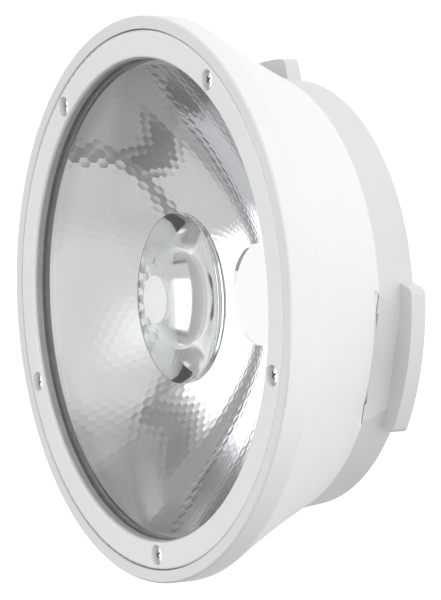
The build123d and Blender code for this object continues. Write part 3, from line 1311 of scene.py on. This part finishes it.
@dataclass
class FrontGroup(SubAssembly):
    """The bezel with its screws, the clear cover and its seal."""

    seal: CoverSeal = field(default_factory=CoverSeal)
    head_height: float = 1.1 * MM
    shank_radius: float = 1.0 * MM
    wider: float = 0.35 * MM
    higher: float = 0.4 * MM

    def build(self) -> None:
        """Build the seal and the screws, and dress the bezel and the cover."""
        self.seal.build(self.finishes.rubber)
        self.fit_screws(ScrewSet("bezel_screws", Body.HEAD, Facing.FRONT, self.head_height,
                                 self.shank_radius, wider=self.wider, higher=self.higher))
        self.dress({"bezel_ring": self.finishes.bezel, "front_cover": self.finishes.cover})


@dataclass
class Housing(SubAssembly):
    """The shell and the sleeve that takes the lamp, with its pad, inserts and screws."""

    head_height: float = 1.0 * MM
    shank_radius: float = 0.75 * MM

    def build(self) -> None:
        """Build the sleeve's screws and dress the rest."""
        self.fit_screws(ScrewSet("sleeve_screws", Body.HEAD, Facing.FRONT, self.head_height,
                                 self.shank_radius))
        self.dress({"housing_shell": self.finishes.housing, "mount_sleeve": self.finishes.sleeve,
                    "lamp_seat_pad": self.finishes.rubber, "sleeve_inserts": self.finishes.brass})


@dataclass
class LockMechanism(SubAssembly):
    """The ring that turns on the sleeve, and what holds it: washer, stop pin and retaining ring."""

    retaining_head: float = 0.9 * MM
    retaining_shank: float = 0.9 * MM
    claw_head: float = 0.6 * MM
    claw_shank: float = 0.75 * MM

    def build(self) -> None:
        """Build both sets of screws and dress the rest."""
        self.fit_screws(ScrewSet("retaining_screws", Body.HEAD, Facing.REAR, self.retaining_head,
                                 self.retaining_shank))
        self.fit_screws(ScrewSet("claw_screws", Body.LOCK_RING, Facing.REAR, self.claw_head,
                                 self.claw_shank))
        self.dress({"lock_ring": self.finishes.ring_plastic, "friction_washer": self.finishes.slip,
                    "stop_pin": self.finishes.ring, "retaining_ring": self.finishes.ring,
                    "claw_plate": self.finishes.ring, "claw_inserts": self.finishes.brass})


# ------------------------------------------------------------------ studio


@dataclass(frozen=True)
class SoftPanel:
    """A soft-edged patch of the studio's surroundings, as seen from the object, in degrees."""

    azimuth: float
    elevation: float
    half_width: float
    half_height: float
    strength: float
    soft: float


@dataclass
class Studio:
    """A pale room: soft surroundings and a white floor.

    The panels are laid over the base in this order, each covering what is under it.
    """

    base: float = 1.08
    backdrop: float = 1.1
    floor_drop: float = 0.30
    floor_reach: float = 9.0
    floor_colour: Colour = (0.9, 0.9, 0.9)
    floor_shade: Colour = (0.88, 0.88, 0.88)
    floor_cloud: Texture = Texture(6.0)
    floor_roughness: float = 0.9
    floor_glow: float = 0.3
    panels: tuple[SoftPanel, ...] = (
        SoftPanel(-34, 5, 80, 58, 0.50, 2.0),
        SoftPanel(0, -67, 400, 24, 0.36, 1.0),
        SoftPanel(-38, -45.3, 28, 2.8, 0.15, 0.8),
        SoftPanel(4, -48.2, 16, 2.2, 0.22, 0.8),
        SoftPanel(0, 82, 400, 22, 1.35, 6.0),
        SoftPanel(-46, 47, 30, 14, 0.34, 2.0),
        SoftPanel(12, 52, 32, 12, 0.46, 4.0),
        SoftPanel(-42, -25.5, 26, 16.3, 0.66, 1.2),
        SoftPanel(16, -20, 25.5, 26, 0.66, 1.2),
        SoftPanel(15, 8, 25, 31, 0.80, 7.0),
        SoftPanel(7, 12, 8, 10, 1.2, 8.0),
        SoftPanel(-39, 4, 16, 26, 2.0, 3.0),
        SoftPanel(-13, -33, 3.2, 14, 0.24, 1.5),
        SoftPanel(-13, 28, 3.0, 9, 0.34, 2.0),
        SoftPanel(-40, 37.5, 28, 2.6, 0.24, 1.2),
        SoftPanel(-82, 0, 25, 60, 0.34, 2.0),
        SoftPanel(64, 5, 26, 50, 1.30, 8.0),
        SoftPanel(120, 24, 46, 44, 1.24, 12.0),
    )

    def surroundings(self) -> None:
        """Build the world's light."""
        world = bpy.data.worlds.new("pale_studio")
        bpy.context.scene.world = world
        world.use_nodes = True
        graph = Graph(world.node_tree)
        parts = graph.node("SeparateXYZ")
        graph.feed(parts.inputs[0], graph.node("TexCoord").outputs["Generated"])
        ahead = graph.math("MULTIPLY", parts.outputs[1], -1.0)
        azimuth = graph.math("DEGREES", graph.math("ARCTAN2", parts.outputs[0], ahead))
        elevation = graph.math("DEGREES", graph.math("ARCSINE", parts.outputs[2]))
        light: object = self.base
        for panel in self.panels:
            across = self.edge(graph, azimuth, panel.azimuth, panel.half_width, panel.soft)
            upright = self.edge(graph, elevation, panel.elevation, panel.half_height, panel.soft)
            mask = graph.math("MULTIPLY", across, upright)
            rest = graph.math("MULTIPLY", light, graph.math("SUBTRACT", 1.0, mask))
            light = graph.math("ADD", rest, graph.math("MULTIPLY", mask, panel.strength))
        seen = graph.node("LightPath").outputs["Is Camera Ray"]
        open_air = graph.math("MULTIPLY", light, graph.math("SUBTRACT", 1.0, seen))
        strength = graph.math("ADD", open_air, graph.math("MULTIPLY", seen, self.backdrop))
        background = graph.node("Background")
        graph.feed(background.inputs["Color"], (1.0, 1.0, 1.0, 1.0))
        graph.feed(background.inputs["Strength"], strength)
        graph.feed(graph.node("OutputWorld").inputs["Surface"], background.outputs[0])

    def edge(self, graph: Graph, value: object, middle: float, half: float,
             soft: float) -> bpy.types.NodeSocket:
        """A soft window on one angle.

        Args:
            graph: where the nodes go.
            value: the angle's socket.
            middle: the window's middle.
            half: its half width.
            soft: how wide its edge is.

        Returns:
            1 inside and 0 outside.
        """
        away = graph.math("ABSOLUTE", graph.math("SUBTRACT", value, middle))
        return graph.ramp(away, half - soft, half + soft, 1.0, 0.0, smooth=True)

    def floor(self, lowest: float) -> None:
        """Lay the floor well below the object.

        Args:
            lowest: Z of the object's lowest point.
        """
        mesh = bmesh.new()
        level, reach = lowest - self.floor_drop, self.floor_reach
        spots = [(-reach, -reach), (reach, -reach), (reach, reach), (-reach, reach)]
        mesh.faces.new([mesh.verts.new((x, y, level)) for x, y in spots])
        data = plain_mesh("studio_floor", mesh)
        floor = bpy.data.objects.new("studio_floor", data)
        bpy.context.scene.collection.objects.link(floor)
        data.materials.append(self.floor_paint())
        floor.visible_diffuse = False
        floor.visible_glossy = False
        floor.visible_transmission = False
        floor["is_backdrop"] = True

    def floor_paint(self) -> bpy.types.Material:
        """Build the floor's material.

        Returns:
            The material.
        """
        material, graph, shader, place = new_surface("floor_paint")
        cloud = graph.noise(place, self.floor_cloud)
        graph.feed(shader.inputs["Base Color"], graph.tint(cloud, self.floor_colour, self.floor_shade))
        shader.inputs["Roughness"].default_value = self.floor_roughness
        shader.inputs["Emission Color"].default_value = (1.0, 1.0, 1.0, 1.0)
        shader.inputs["Emission Strength"].default_value = self.floor_glow
        return material


@dataclass
class StudioCamera:
    """A long lens that looks at the front face from the right."""

    azimuth: float = 59.83
    elevation: float = 4.74
    lens: float = 192.0
    sensor_width: float = 36.0
    distance: float = 857.6 * MM
    off_centre: float = 20.8 * MM
    clip_start: float = 10 * MM

    def place(self, target: Vector) -> bpy.types.Object:
        """Set up the camera.

        Args:
            target: the middle of the front face.

        Returns:
            The camera's object.
        """
        turn, rise = math.radians(self.azimuth), math.radians(self.elevation)
        right = Vector((math.cos(turn), math.sin(turn), 0.0))
        ahead = Vector((-math.sin(turn) * math.cos(rise), math.cos(turn) * math.cos(rise),
                        -math.sin(rise)))
        basis = Matrix((right, right.cross(ahead), -ahead)).transposed().to_4x4()
        data = bpy.data.cameras.new("studio_camera")
        data.lens = self.lens
        data.sensor_width = self.sensor_width
        data.clip_start = self.clip_start
        camera = bpy.data.objects.new("studio_camera", data)
        eye = target + right * self.off_centre - ahead * self.distance
        camera.matrix_world = Matrix.Translation(eye) @ basis
        bpy.context.scene.collection.objects.link(camera)
        bpy.context.scene.camera = camera
        return camera


def main() -> None:
    """Build the studio, then each sub-assembly in turn."""
    logging.basicConfig(level=logging.INFO, format="%(name)s %(message)s", stream=sys.stdout)
    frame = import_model()
    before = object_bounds()
    bpy.context.scene.view_settings.view_transform = "Standard"
    finishes = Finishes()
    StudioCamera().place(Vector((0.0, Part("bezel_ring").front, 0.0)))
    studio = Studio()
    studio.surroundings()
    studio.floor(before[0][2])
    for group in (Optic, FrontGroup, Housing, LockMechanism):
        group(frame["nodes"], finishes).build()
        LOG.info("%s is in place", group.__name__)


if __name__ == "__main__":
    main()
